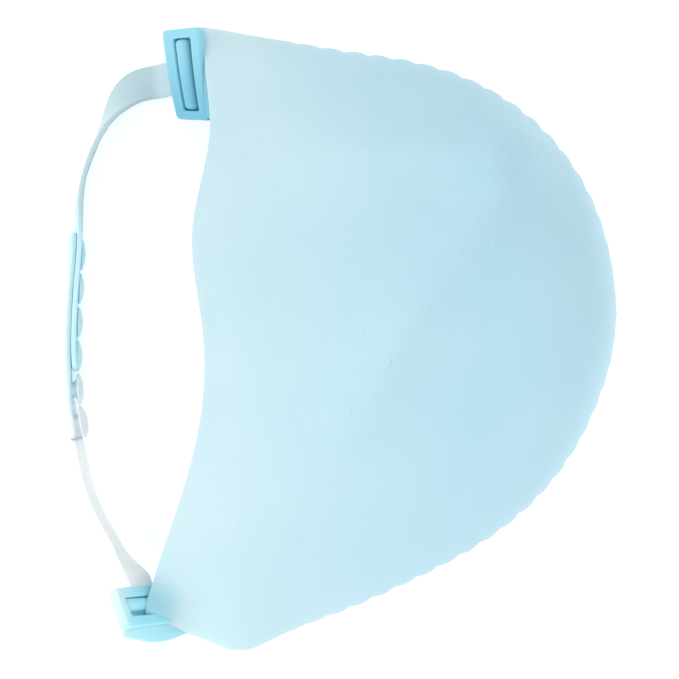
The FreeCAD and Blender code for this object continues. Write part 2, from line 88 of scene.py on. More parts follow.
def keyed(pairs, at):
    """Linear keys, given as (place, value) pairs with rising places, read at the given places."""
    places, values = zip(*pairs)
    return np.interp(at, places, values)


def smoothstep(x, low, high):
    """0 below low, 1 above high and a smooth rise between them."""
    t = np.clip((x - low) / (high - low), 0, 1)
    return t * t * (3 - 2 * t)


def unit(v):
    """Vectors along the last axis, scaled to length 1."""
    v = np.asarray(v, float)
    return v / np.linalg.norm(v, axis=-1, keepdims=True)


def mesh_piece(name, points, faces):
    """A mesh object from points in millimetres and faces, with its normals made consistent."""
    mesh = bpy.data.meshes.new(name)
    mesh.from_pydata((np.asarray(points, float) * MM).tolist(), [], [list(map(int, f)) for f in faces])
    piece = bpy.data.objects.new(name, mesh)
    bpy.context.scene.collection.objects.link(piece)
    work = bmesh.new()
    work.from_mesh(mesh)
    bmesh.ops.remove_doubles(work, verts=work.verts, dist=1e-7)
    bmesh.ops.dissolve_degenerate(work, edges=work.edges, dist=1e-8)
    bmesh.ops.recalc_face_normals(work, faces=work.faces)
    work.to_mesh(mesh)
    work.free()
    for polygon in mesh.polygons:
        polygon.use_smooth = True
    return piece


def grid_faces(rows, columns, start=0, closed=True):
    """Quads between consecutive rows of a grid of points; closed joins the last column to the first."""
    faces = []
    last = columns if closed else columns - 1
    for r in range(rows - 1):
        for c in range(last):
            a = start + r * columns + c
            b = start + r * columns + (c + 1) % columns
            faces.append((a, b, b + columns, a + columns))
    return faces


def joined(parts):
    """Several (points, faces) lists as one."""
    points, faces, start = [], [], 0
    for part_points, part_faces in parts:
        points.append(np.asarray(part_points, float))
        faces += [tuple(i + start for i in f) for f in part_faces]
        start += len(part_points)
    return np.vstack(points), faces


def metres(p):
    """One point in millimetres as a tuple in metres."""
    return tuple(float(c) * MM for c in np.asarray(p, float).reshape(3))


# ---------------------------------------------------------------------------------------------------
# Dome
# ---------------------------------------------------------------------------------------------------
# x, y at one ear's fold, y at the other's, height of the fold, rise above it, drop below it
STATIONS = [
    (-96.0, 105.0, -101.0, 11.0, 20.6, 13.6),
    (-88.0, 111.0, -108.0, 11.0, 22.0, 14.0),
    (-70.0, 122.0, -116.0, 11.0, 25.0, 15.0),
    (-55.0, 125.0, -120.4, 11.0, 27.5, 15.5),
    (-40.0, 122.8, -125.2, 11.0, 29.5, 16.0),
    (-25.0, 120.2, -119.8, 11.5, 31.5, 17.0),
    (2.0, 115.4, -108.6, 12.5, 36.0, 19.0),
    (31.0, 110.6, -95.6, 14.0, 40.0, 21.5),
    (58.0, 100.8, -80.6, 16.0, 42.0, 24.0),
    (78.0, 86.8, -64.2, 18.0, 40.0, 25.5),
    (94.0, 67.8, -43.4, 19.0, 33.5, 23.5),
    (103.6, 48.0, -23.0, 20.0, 24.5, 18.0),
    (108.8, 27.2, -4.6, 20.0, 13.0, 10.0),
    (110.4, 10.0, 10.0, 20.0, 0.0, 0.0),
]
# The head opening's edge in plan
RIM_PLAN = [
    (-58, 140), (-54.6, 122), (-52.4, 104), (-50.6, 84), (-57.4, 42),
    (-53, 2), (-56.2, -42), (-66, -74), (-76, -106), (-80, -140),
]
WALL = 1.2
FOLD_POWER = 1.3
FLOOR_SOFTNESS = 1.2
FRAME_LENGTH, FRAME_WIDTH, FRAME_THICK = 36.8, 16.4, 5.5

_stations = np.array(STATIONS)
_middles = np.column_stack([_stations[:, 0], (_stations[:, 1] + _stations[:, 2]) / 2])
_half = (_stations[:, 1] - _stations[:, 2]) / 2
_marks = np.concatenate([[0], np.cumsum(np.hypot(np.diff(_stations[:, 0]), np.diff(_half)))])
station_at = spline(_marks, np.column_stack([_stations[:, 0], _middles[:, 1], _half, _stations[:, 3:]]))
_rim = np.array(RIM_PLAN, float)
_rim_marks = np.concatenate([[0], np.cumsum(np.hypot(*np.diff(_rim, axis=0).T))])
_rim_fine = spline(_rim_marks, _rim)(np.linspace(0, _rim_marks[-1], 600))[::-1]


def rim_x(y):
    """The head opening's edge in plan."""
    return np.interp(y, _rim_fine[:, 1], _rim_fine[:, 0])


def lens(mark, turn):
    """Points of the dome's plain outer surface, at marks along it and at turns round its section."""
    x, middle, half, fold, rise, drop = np.moveaxis(station_at(mark), -1, 0)
    half = np.maximum(half, 0)
    up = np.sin(turn)
    depth = np.where(up > 0, np.maximum(rise, 0), np.maximum(drop, 0))
    z = fold + np.sign(up) * depth * np.abs(up) ** FOLD_POWER
    z = FLOOR_SOFTNESS * np.logaddexp(0, z / FLOOR_SOFTNESS)
    return np.stack([x, middle + half * np.cos(turn), z], -1)


def rim_mark(turn):
    """The mark at which the dome's surface meets the head opening's edge, for each turn."""
    low = np.zeros_like(turn)
    high = np.full_like(turn, _marks[-2])
    for _ in range(40):
        middle = (low + high) / 2
        p = lens(middle, turn)
        inside = p[..., 0] > rim_x(p[..., 1])
        high = np.where(inside, middle, high)
        low = np.where(inside, low, middle)
    return high


# Creases of the limp front wall: points in plan, height, half-width on its left and on its right
# Hollows and swells of it: middle, two radii, turn in degrees, height
CREASES = [
    ([(70, 74), (60, 52), (44, 31), (24, 3), (14, -18), (-14, -56), (-46, -90)], 7.4, 20.0, 13.0),
    ([(70, 75), (48, 77), (20, 76), (-10, 72), (-48, 66)], 3.4, 15.0, 12.0),
]
HOLLOWS = [
    ((36, 57), (24, 12), 32, -2.8),
    ((2, 34), (34, 20), 42, -3.0),
    ((-34, 6), (22, 46), 8, 1.6),
    ((64, -22), (26, 40), -20, -1.6),
    ((92, 58), (11, 24), 30, -2.0),
    ((-6, 98), (56, 11), -6, -1.2),
]
KNUCKLE_MIDDLE, KNUCKLE_RADIUS, KNUCKLE_HEIGHT = (70, 74), 13.0, 4.6


def crease_height(x, y, line, height, left, right):
    """A soft crease along a line of points in plan; each side has its own width, and the far end fades."""
    pts = np.array(line, float)
    lengths = np.hypot(*np.diff(pts, axis=0).T)
    marks = np.concatenate([[0], np.cumsum(lengths)])
    fine_marks = np.linspace(0, marks[-1], 260)
    fine = spline(marks, pts)(fine_marks)
    step = unit(np.gradient(fine, axis=0))
    best = np.full(x.shape, 1e9)
    side = np.zeros(x.shape)
    share = np.zeros(x.shape)
    for k in range(len(fine)):
        dx, dy = x - fine[k, 0], y - fine[k, 1]
        d = np.hypot(dx, dy)
        near = d < best
        best = np.where(near, d, best)
        side = np.where(near, step[k, 0] * dy - step[k, 1] * dx, side)
        share = np.where(near, fine_marks[k] / marks[-1], share)
    width = left + (right - left) * smoothstep(side / 8.0, -1, 1)
    strength = smoothstep(share, -0.04, 0.10) * (1 - smoothstep(share, 0.35, 0.95))
    return height * strength * np.exp(-(best / width) ** 1.7)


STUD_FACE_NORMAL = (0.725, 0.404, 0.555)
STUD_FACE_MIDDLE = (-75.6, -107.0, 20.0)
FOLD_CLEARANCE, FOLD_CEILING, FOLD_SOFTNESS = 1.5, 31.0, 2.0


def over_stud_frame(points, turns):
    """The front wall folds over the inner half of the second ear frame and rests on its visible face."""
    x, y, z = np.moveaxis(points, -1, 0)
    nx, ny, nz = STUD_FACE_NORMAL
    mx, my, mz = STUD_FACE_MIDDLE
    face = mz + (FRAME_THICK / 2 + FOLD_CLEARANCE - nx * (x - mx) - ny * (y - my)) / nz
    near = smoothstep(-y, 90, 103) * smoothstep(-x, 58, 68)
    front = smoothstep(np.sin(turns), 0.02, 0.5)
    lift = FOLD_SOFTNESS * np.logaddexp(0, (np.minimum(face, FOLD_CEILING) - z) / FOLD_SOFTNESS)
    points[..., 2] = z + lift * near * front
    return points


def front_relief(x, y):
    """How far the limp front wall stands above the plain lens, in plan."""
    z = np.zeros(x.shape)
    for line, height, left, right in CREASES:
        z += crease_height(x, y, line, height, left, right)
    for (cx, cy), (rx, ry), turn, depth in HOLLOWS:
        a = math.radians(turn)
        u = ((x - cx) * math.cos(a) + (y - cy) * math.sin(a)) / rx
        v = (-(x - cx) * math.sin(a) + (y - cy) * math.cos(a)) / ry
        z += depth * np.exp(-(u * u + v * v))
    knuckle = np.hypot(x - KNUCKLE_MIDDLE[0], y - KNUCKLE_MIDDLE[1])
    return z + KNUCKLE_HEIGHT * np.exp(-(knuckle / KNUCKLE_RADIUS) ** 2)


SCALLOP_PITCH = 9.7
SCALLOP_HEIGHT = 1.0


def scalloped(points, turn):
    """The folded edge bulges between the dimples that it passes through."""
    middle = np.abs(np.cos(turn)) ** 40
    along = np.concatenate([
        np.zeros((1, points.shape[1])),
        np.cumsum(np.linalg.norm(np.diff(points, axis=0), axis=-1), axis=0),
    ])
    wave = np.abs(np.sin(np.pi * along / SCALLOP_PITCH)) ** 0.7 - 0.6
    reach = smoothstep(points[..., 0], -30, 0)
    step = np.gradient(points, axis=0)
    out = unit(np.stack([-step[..., 1], step[..., 0], np.zeros_like(step[..., 0])], -1))
    out *= np.where(np.cos(turn) > 0, 1, -1)[..., None]
    return points + out * (SCALLOP_HEIGHT * wave * middle * reach)[..., None]


COLUMNS = 272
OUTER_ROWS = 250
INNER_ROWS = 80
CROWN_GAP = 0.8


def dome_grid(rows, outer):
    """Rows of points from the head opening to just before the crown."""
    even = np.linspace(0, 2 * np.pi, COLUMNS, endpoint=False)
    # the columns stand closer together at the two folded edges
    turn = even - 0.28 * np.sin(2 * even) / 2
    start = rim_mark(turn)
    share = np.linspace(0, 1, rows)[:, None]
    end = _marks[-1] - CROWN_GAP
    mark = start[None, :] + share * (end - start[None, :])
    turns = np.broadcast_to(turn, mark.shape)
    points = lens(mark, turns)
    up = np.clip(np.sin(turns), 0, 1)
    edge = smoothstep(mark - start[None, :], 0, 16)
    crown = 1 - smoothstep(points[..., 0], 84, 106)
    relief = front_relief(points[..., 0], points[..., 1])
    points[..., 2] += relief * smoothstep(up, 0.05, 0.55) * (0.35 + 0.65 * edge) * crown
    points = over_stud_frame(points, turns)
    return scalloped(points, turns) if outer else points


def grid_normals(points):
    """Outward unit normals of a closed grid."""
    along = np.gradient(points, axis=0)
    around = (np.roll(points, -1, axis=1) - np.roll(points, 1, axis=1)) / 2
    return unit(np.cross(around, along))


BEAD_RADIUS, BEAD_REACH, BEAD_ROWS = 1.05, 0.6, 7
LOWEST = 0.05


def build_cap_shell():
    """The dome's wall: its outer skin, its inner skin and the round bead that joins them at the rim."""
    outer = dome_grid(OUTER_ROWS, True)
    plain = dome_grid(INNER_ROWS, False)
    normals = grid_normals(plain)
    centre = plain.mean(axis=1, keepdims=True)
    if np.sum(normals * (plain - centre)) < 0:
        normals = -normals
    inner = plain - normals * WALL
    inner[..., 2] = np.maximum(inner[..., 2], WALL * 0.9)
    rim_normals = grid_normals(outer)[0]
    if np.sum(rim_normals * (outer[0] - outer[0].mean(axis=0))) < 0:
        rim_normals = -rim_normals
    inward = unit(outer[3] - outer[0])
    middle_line = outer[0] - rim_normals * WALL / 2
    bead = []
    for k in range(BEAD_ROWS):
        a = math.pi * (0.16 + 0.68 * k / (BEAD_ROWS - 1))
        roll = rim_normals * BEAD_RADIUS * math.cos(a) - inward * BEAD_RADIUS * math.sin(a)
        bead.append(middle_line + roll + inward * BEAD_REACH)
    bead = np.array(bead)
    # the bead takes the place of the two skins' rows that are next to the rim
    rows = np.concatenate([inner[::-1][:-1], bead[::-1], outer[4:]])
    count = len(rows)
    points = rows.reshape(-1, 3)
    faces = grid_faces(count, COLUMNS)
    tip_in = len(points)
    tip_out = tip_in + 1
    crown_out = outer[-1].mean(axis=0) + np.array([0.25, 0, 0])
    crown_in = inner[-1].mean(axis=0)
    points = np.vstack([points, crown_in, crown_out])
    points[:, 2] = np.maximum(points[:, 2], LOWEST)
    last = (count - 1) * COLUMNS
    for c in range(COLUMNS):
        d = (c + 1) % COLUMNS
        faces.append((d, c, tip_in))
        faces.append((last + c, last + d, tip_out))
    piece = mesh_piece("cap_shell", points, faces)
    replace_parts(piece, "cap_dome", "rim_bead")
    return piece


# Rings: small raised rings on a lattice, where the hook goes through
RING_STEP_A = np.array([9.6, -10.4])
RING_STEP_B = np.array([-12.4, -4.8])
RING_START = np.array([42.8, 1.2])
RING_FROM_RIM = 14
RING_STEEPEST, RING_LOWEST, RING_LARGEST_JUMP = 0.4, 0.7, 1.0
RING_RADIUS, RING_AROUND = 1.6, 24
# The ring's low section, closed below the skin: out from its middle, up from the skin
RING_SECTION = [
    (-0.75, -0.12), (-0.55, 0.0), (-0.28, 0.06), (0.0, 0.085),
    (0.28, 0.06), (0.55, 0.0), (0.75, -0.12), (0.0, -0.3),
]
RING_TUBE = len(RING_SECTION)
FAR_OFF = 200.0


def surface_hit(tree, x, y, side):
    """Where a line along Z meets the shell from outside: the point and the normal, or None."""
    place, normal, _, _ = tree.ray_cast(Vector((x, y, side * FAR_OFF)), Vector((0, 0, -side)))
    return (np.array(place), np.array(normal)) if place else None


def ring_at(tree, spot, side):
    """One raised ring that follows the surface, or nothing where the wall is too steep or on the floor."""
    middle = surface_hit(tree, spot[0], spot[1], side)
    if middle is None or abs(middle[1][2]) < RING_STEEPEST:
        return None
    if side < 0 and middle[0][2] < RING_LOWEST:
        return None
    normal = middle[1] * (1 if middle[1][2] * side > 0 else -1)
    e1 = unit(np.cross(normal, [0.0, 1.0, 0.0]))
    e2 = np.cross(normal, e1)
    ring = []
    for i in range(RING_AROUND):
        t = 2 * math.pi * i / RING_AROUND
        out = e1 * math.cos(t) + e2 * math.sin(t)
        on_line = middle[0] + out * RING_RADIUS
        hit = surface_hit(tree, on_line[0], on_line[1], side)
        if hit is None or np.linalg.norm(hit[0] - on_line) > RING_LARGEST_JUMP:
            return None
        for aside, above in RING_SECTION[::-1]:
            ring.append(hit[0] + out * aside + normal * above)
    return ring, [
        (i * RING_TUBE + j, (i + 1) % RING_AROUND * RING_TUBE + j,
         (i + 1) % RING_AROUND * RING_TUBE + (j + 1) % RING_TUBE, i * RING_TUBE + (j + 1) % RING_TUBE)
        for i in range(RING_AROUND) for j in range(RING_TUBE)
    ]


def build_rings(shell):
    """All rings of the lattice that lie on the shell, on its front and on its rear wall, as one piece."""
    mesh = shell.data
    tree = BVHTree.FromPolygons([v.co / MM for v in mesh.vertices], [p.vertices[:] for p in mesh.polygons])
    parts = []
    for side in (1, -1):
        for a in range(-16, 17):
            for b in range(-16, 17):
                spot = RING_START + a * RING_STEP_A + b * RING_STEP_B
                if spot[0] < rim_x(spot[1]) + RING_FROM_RIM:
                    continue
                ring = ring_at(tree, spot, side)
                if ring:
                    parts.append(ring)
    return mesh_piece("cap_rings", *joined(parts))


# ---------------------------------------------------------------------------------------------------
# Ear frames, webs and straps: local X along the rim, Y towards the strap, Z out of the visible face
# ---------------------------------------------------------------------------------------------------
class Seat:
    """The place of an ear frame, with the same directions as the CAD's."""

    def __init__(self, middle, along, towards_strap):
        self.middle = np.array(middle, float)
        self.x = unit(along)
        y = np.array(towards_strap, float)
        self.y = unit(y - self.x * y.dot(self.x))
        self.z = np.cross(self.x, self.y)

    def __call__(self, p):
        """Points of the frame's own directions in the cap's."""
        p = np.asarray(p, float)
        return self.middle + p[..., 0:1] * self.x + p[..., 1:2] * self.y + p[..., 2:3] * self.z


HOLE_SEAT = Seat((-60.3, 105.8, 15.6), (-0.152, 0.988, 0.0), (-0.80, -0.12, -0.59))
STUD_SEAT = Seat(STUD_FACE_MIDDLE, (0.62, -0.036, -0.784), (-0.265, 0.910, -0.317))
SLOT_LENGTH, SLOT_WIDTH = 29.2, 7.8
BAR_LENGTH, BAR_RADIUS = 28.4, 2.8
PULL = 0.65
BAR_MIDDLE = SLOT_WIDTH / 2 - BAR_RADIUS - 0.1
BAR_END, BAR_LIFT, BAR_FLATNESS = 1.8, 0.3, 0.98
LONG_SIDE_STEPS, SHORT_SIDE_STEPS, CORNER_POINTS = 24, 10, 5
FRAME_CORNER, FRAME_ROUNDING = 1.6, 0.9
SLOT_CORNER, SLOT_ROUNDING = 0.8, 0.5


def loop_outline(length, width, corner):
    """A rounded rectangle as a closed line of points, with steps along each side."""
    out = []
    for k, (sx, sy) in enumerate([(1, 1), (-1, 1), (-1, -1), (1, -1)]):
        cx, cy = sx * (length / 2 - corner), sy * (width / 2 - corner)
        for j in range(CORNER_POINTS):
            a = math.pi / 2 * (k + j / (CORNER_POINTS - 1))
            out.append((cx + corner * math.cos(a), cy + corner * math.sin(a)))
    out = np.array(out)
    filled = []
    for k in range(len(out)):
        a, b = out[k], out[(k + 1) % len(out)]
        if (k + 1) % CORNER_POINTS == 0:
            n = LONG_SIDE_STEPS if abs(b[0] - a[0]) > abs(b[1] - a[1]) else SHORT_SIDE_STEPS
        else:
            n = 1
        filled += [a + (b - a) * j / n for j in range(n)]
    return np.array(filled)


def slab(top, low):
    """(points, faces) of a closed slab between two grids of points with the same rows."""
    rows, across = top.shape[:2]
    base = rows * across
    faces = grid_faces(rows, across, 0, False)
    faces += [tuple(reversed(f)) for f in grid_faces(rows, across, base, False)]
    border = list(range(across))
    border += [r * across + across - 1 for r in range(1, rows)]
    border += [(rows - 1) * across + c for c in range(across - 2, -1, -1)]
    border += [r * across for r in range(rows - 2, 0, -1)]
    for k in range(len(border)):
        a, b = border[k], border[(k + 1) % len(border)]
        faces.append((a, b, base + b, base + a))
    return np.concatenate([top.reshape(-1, 3), low.reshape(-1, 3)]), faces


FILM_TOP, FILM_LOW, FILM_MARGIN = -2.62, -3.2, 1.5


def slot_film(seat, warp):
    """The cap's own film behind a frame's slot, under the neck of the toggle."""
    x, y = np.meshgrid(np.linspace(-1, 1, 24), np.linspace(-1, 1, 8))
    x = x * (SLOT_LENGTH / 2 + FILM_MARGIN)
    y = y * (SLOT_WIDTH / 2 + FILM_MARGIN)
    grids = [seat(warp(np.stack([x, y, np.full(x.shape, z)], -1))) for z in (FILM_TOP, FILM_LOW)]
    return slab(*grids)


def build_frame(name, seat, warp):
    """A soft block with a slot, swept between its outer outline and its slot, with a film behind the slot."""
    outer = loop_outline(FRAME_LENGTH, FRAME_WIDTH, FRAME_CORNER)
    inner = loop_outline(SLOT_LENGTH, SLOT_WIDTH, SLOT_CORNER)
    half = FRAME_THICK / 2
    # the band's section: up its outer side, over the visible face, down through the slot and back underneath
    section = [(outer, -1, FRAME_ROUNDING, math.radians(a)) for a in np.linspace(-90, 90, 9)]
    section += [(inner, 1, SLOT_ROUNDING, math.radians(a)) for a in np.linspace(90, 270, 9)]
    rows = []
    for line, sign, radius, a in section:
        # the edges are rounded: the outline moves into the block towards its two faces
        size_x, size_y = np.abs(line[:, 0]).max(), np.abs(line[:, 1]).max()
        inset = radius * (1 - abs(math.cos(a)))
        factor = np.array([(size_x + sign * inset) / size_x, (size_y + sign * inset) / size_y])
        level = abs(math.sin(a)) < 1e-9
        z = 0.0 if level else math.copysign(half - radius + radius * abs(math.sin(a)), math.sin(a))
        rows.append(np.column_stack([line * factor, np.full(len(line), z)]))
    count, columns = len(rows), len(outer)
    points = np.vstack(rows)
    faces = grid_faces(count, columns)
    top = (count - 1) * columns
    for c in range(columns):
        d = (c + 1) % columns
        faces.append((top + c, top + d, d, c))
    return mesh_piece(name, *joined([(seat(warp(points)), faces), slot_film(seat, warp)]))


HOLE_TWIST, HOLE_BOW = 6, 0.7
STUD_TWIST, STUD_BOW, STUD_SHEAR = -5, 0.4, 0.2


def hole_warp(p):
    """The first frame: a little wider, sheared, and bowed and twisted along its length."""
    p = np.array(p, float)
    u = p[..., 0] / (FRAME_LENGTH / 2)
    v = p[..., 1] / (FRAME_WIDTH / 2)
    twist = math.radians(HOLE_TWIST) * u
    # across it: wider, nearer the rim, and its middle more so than its two long sides
    y, z = 8.7 * v - 0.9 - 0.6 * (1 - v * v), p[..., 2].copy()
    p[..., 0] += y * (0.15 - 0.05 * u)
    p[..., 1] = y * np.cos(twist) - z * np.sin(twist) + HOLE_BOW * (1 - u * u)
    p[..., 2] = y * np.sin(twist) + z * np.cos(twist)
    return p


def stud_warp(p):
    """The second frame: sheared along its length, with a slight bow and a slight twist."""
    p = np.array(p, float)
    u = p[..., 0] / (FRAME_LENGTH / 2)
    twist = math.radians(STUD_TWIST) * u
    y, z = p[..., 1].copy(), p[..., 2].copy()
    p[..., 0] -= STUD_SHEAR * y
    p[..., 1] = y * np.cos(twist) - z * np.sin(twist) + STUD_BOW * (1 - u * u)
    p[..., 2] = y * np.sin(twist) + z * np.cos(twist)
    return p


WEB_THICK, WEB_TAPER, WEB_REACH, WEB_LIFT = 2.4, 0.45, 2.2, 1.3
HOLE_WEB_EDGE = [(-48.6, 87.6, 27.9), (-51, 104, 22.6), (-53, 120.6, 14.6)]
STUD_WEB_EDGE = [(-85.2, -117.2, 31.4), (-77.6, -120, 24), (-69.4, -120.8, 16.4), (-60.4, -117.8, 10.8)]


def build_web(name, seat, warp, far_edge):
    """A smooth thick skirt from the rim side of a frame to the dome."""
    far = np.array(far_edge, float)
    marks = np.linspace(-1, 1, len(far))
    across, rows = 24, 9
    u = np.linspace(-1, 1, across)
    far_line = spline(marks, far)(u)
    half = FRAME_LENGTH / 2 - 0.8
    reach = np.full(across, WEB_REACH - FRAME_WIDTH / 2)
    near = seat(warp(np.column_stack([u * half, reach, np.full(across, WEB_LIFT)])))
    lift = seat.z * WEB_THICK / 2
    top, low = [], []
    for k in range(rows):
        t = k / (rows - 1)
        line = near * (1 - t) + far_line * t
        thin = 1 - WEB_TAPER * t
        top.append(line + lift * thin)
        low.append(line - lift * thin)
    piece = mesh_piece(name, *slab(np.array(top), np.array(low)))
    bevel = piece.modifiers.new("edges", "BEVEL")
    bevel.width = 0.6 * MM
    bevel.segments = 3
    bevel.limit_method = "ANGLE"
    return piece


# ---------------------------------------------------------------------------------------------------
# Strap halves: a rounded ribbon along a smooth line, whose lean from standing is keyed along it
# ---------------------------------------------------------------------------------------------------
STRAP_WIDTH, STRAP_THICK, STRAP_GAP = 13.6, 2.2, 0.1
TIP_ROUND, EDGE_ROUND, ROW_STEP = 4.0, 0.62, 0.9
SECTION = 28


def strap_outline(half_width, half_thick):
    """A rounded rectangle's points: across the strap, and through it."""
    out = []
    corner = min(EDGE_ROUND, half_thick * 0.9)
    for k, (sx, sy) in enumerate([(1, 1), (-1, 1), (-1, -1), (1, -1)]):
        for j in range(SECTION // 4):
            a = math.pi / 2 * (k + j / (SECTION // 4 - 1))
            x = sx * (half_width - corner) + corner * math.cos(a)
            y = sy * (half_thick - corner) + corner * math.sin(a)
            out.append((x, y))
    return np.array(out)


class Strap:
    """A strap's middle line with its directions: across its width, and through it towards the cap."""

    def __init__(self, points, leans):
        pts = np.array(points, float)
        marks = np.concatenate([[0], np.cumsum(np.linalg.norm(np.diff(pts, axis=0), axis=1))])
        self.line = spline(marks, pts)
        self.length = marks[-1]
        self.leans = leans
        self.rising = pts[-1, 1] > pts[0, 1]

    def at(self, mark):
        """At each mark: the point, the way along the strap, across its width, and through it."""
        mark = np.atleast_1d(np.asarray(mark, float))
        p = self.line(mark)
        step = 0.05
        run = unit(self.line(mark + step) - self.line(mark - step))
        up = unit(np.array([0, 0, 1.0]) - run * run[:, 2:3])
        inwards = np.cross(run, up) * (1 if self.rising else -1)
        lean = np.radians(keyed(self.leans, p[:, 1]))[:, None]
        across = np.cos(lean) * up + np.sin(lean) * inwards
        through = np.cos(lean) * inwards - np.sin(lean) * up
        return p, run, across, through

    def mark_at_y(self, y):
        """The mark at which the middle line is at this y."""
        marks = np.linspace(0, self.length, 2000)
        ys = self.line(marks)[:, 1]
        order = np.argsort(ys)
        return float(np.interp(y, ys[order], marks[order]))


def ribbon(strap, start, end, round_end):
    """(points, faces) of a strap between two marks, with a rounded tip if round_end is set."""
    if round_end:
        tip = end - TIP_ROUND
        rounding = tip + TIP_ROUND * np.sin(np.linspace(0, math.pi / 2, 14))
        marks = np.concatenate([np.arange(start, tip, ROW_STEP), rounding])
    else:
        marks = np.linspace(start, end, int((end - start) / ROW_STEP))
    p, _, across, through = strap.at(marks)
    rows = []
    for k, mark in enumerate(marks):
        half = STRAP_WIDTH / 2
        thick = STRAP_THICK / 2
        if round_end and mark > end - TIP_ROUND:
            d = (mark - (end - TIP_ROUND)) / TIP_ROUND
            half = STRAP_WIDTH / 2 - TIP_ROUND + TIP_ROUND * math.sqrt(max(0.0, 1 - d * d))
            thick *= 0.25 + 0.75 * math.sqrt(max(0.0, 1 - d ** 6))
        outline = strap_outline(half, thick)
        rows.append(p[k] + outline[:, 0:1] * across[k] + outline[:, 1:2] * through[k])
    rows = np.array(rows)
    n = rows.shape[1]
    points = rows.reshape(-1, 3)
    faces = grid_faces(len(rows), n)
    faces.append(tuple(range(n))[::-1])
    faces.append(tuple((len(rows) - 1) * n + k for k in range(n)))
    return points, faces


def toggle_bar(seat, warp):
    """The round bar of a strap's T-shaped end, with soft ends."""
    around = 32
    rows = []
    half = BAR_LENGTH / 2
    for a in np.linspace(-90, 90, 41):
        s = math.sin(math.radians(a))
        if abs(a) < 60:
            x = (half - BAR_END) * a / 60
            r = BAR_RADIUS
        else:
            t = (abs(a) - 60) / 30
            x = math.copysign(half - BAR_END + BAR_END * math.sin(t * math.pi / 2), s)
            r = BAR_RADIUS - BAR_END + BAR_END * math.cos(t * math.pi / 2)
        row = []
        for k in range(around):
            b = 2 * math.pi * k / around
            row.append((x, BAR_MIDDLE + r * math.cos(b), BAR_LIFT + r * BAR_FLATNESS * math.sin(b)))
        rows.append(row)
    rows = np.array(rows)
    points = seat(warp(rows.reshape(-1, 3)))
    faces = grid_faces(len(rows), around)
    faces.append(tuple(range(around))[::-1])
    faces.append(tuple((len(rows) - 1) * around + k for k in range(around)))
    return points, faces


NECK_DROP = 1.4


def neck_points(seat, reaches):
    """Points of a strap's neck, under its frame, at these reaches from the frame's middle."""
    return [seat(np.array([[0, r, -NECK_DROP]]))[0] for r in reaches]


# The middle lines, from the toggle bar to the tip, and the leans from standing: y, degrees
HOLE_LINE = neck_points(HOLE_SEAT, (PULL, 5.0, 9.0, 12.9, 16.5)) + [
    (-80.6, 102.0, 5.6), (-86.6, 97.8, 6.6), (-91.8, 91.0, 6.9), (-98.0, 78.4, 7.1),
    (-102.6, 65.8, 7.2), (-104.6, 54.0, 7.2), (-104.9, 43.0, 7.2), (-105.4, 32.0, 7.3),
    (-106.1, 16.0, 7.3), (-106.6, 0.0, 7.3), (-106.4, -8.0, 7.3), (-106.1, -13.0, 7.3),
]
HOLE_LEANS = [
    (-13, 3), (-6, 3), (6, 4), (18, 5), (28, 9), (34, 11), (46, 11.5), (53, 11), (60, 8),
    (68, 5), (76, 4), (82, 8), (87, 14), (92, 28), (97, 50), (101, 70), (104, 84), (105, 90),
]
STUD_LINE = neck_points(STUD_SEAT, (PULL, 5.0, 9.0, 11.8)) + [
    (-86.2, -88.6, 11.6), (-91.0, -80.6, 9.4), (-96.6, -71.0, 8.0), (-101.4, -58.6, 7.4),
    (-104.9, -43.6, 7.2), (-107.0, -33.0, 7.2), (-108.4, -22.0, 7.25), (-108.9, -8.0, 7.3),
    (-108.9, 0.0, 7.3), (-108.4, 16.0, 7.3), (-107.7, 32.0, 7.3), (-107.2, 42.8, 7.3),
]
STUD_LEANS = [
    (-107, -36), (-96, -36), (-91, -19), (-86, -12), (-80, -9), (-60, -10), (-50, -10), (-42, -9),
    (-34, -6), (-27, -3), (-20, 0), (-13, 3), (-6, 3), (6, 4), (18, 5), (28, 9), (34, 11), (42.8, 11.5),
]
hole_strap = Strap(HOLE_LINE, HOLE_LEANS)
stud_strap = Strap(STUD_LINE, STUD_LEANS)
SEAM_Y = -40.0
NECK_BEND_FROM, HOLE_BEND_TO, STUD_BEND_TO = 11.4, 18.6, 17.6
STUD_Y = [34.0, 20.4, 6.8, -6.8, -20.4, -34.0]


def build_hole_strap():
    """The band and the tail with holes, as one ribbon."""
    piece = mesh_piece("hole_strap_half", *ribbon(hole_strap, 0.0, hole_strap.length, True))
    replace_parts(piece, "hole_strap_band", "hole_strap_tail")
    return piece


def build_stud_strap():
    """The stud half's band and tail, as two ribbons that meet at a seam."""
    seam = stud_strap.mark_at_y(SEAM_Y)
    piece = mesh_piece("stud_strap_band_soft", *ribbon(stud_strap, 0.0, seam, False))
    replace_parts(piece, "stud_strap_band")
    upper = mesh_piece("stud_strap_tail_soft", *ribbon(stud_strap, seam - 0.02, stud_strap.length, True))
    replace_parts(upper, "stud_strap_tail")
    return piece, upper


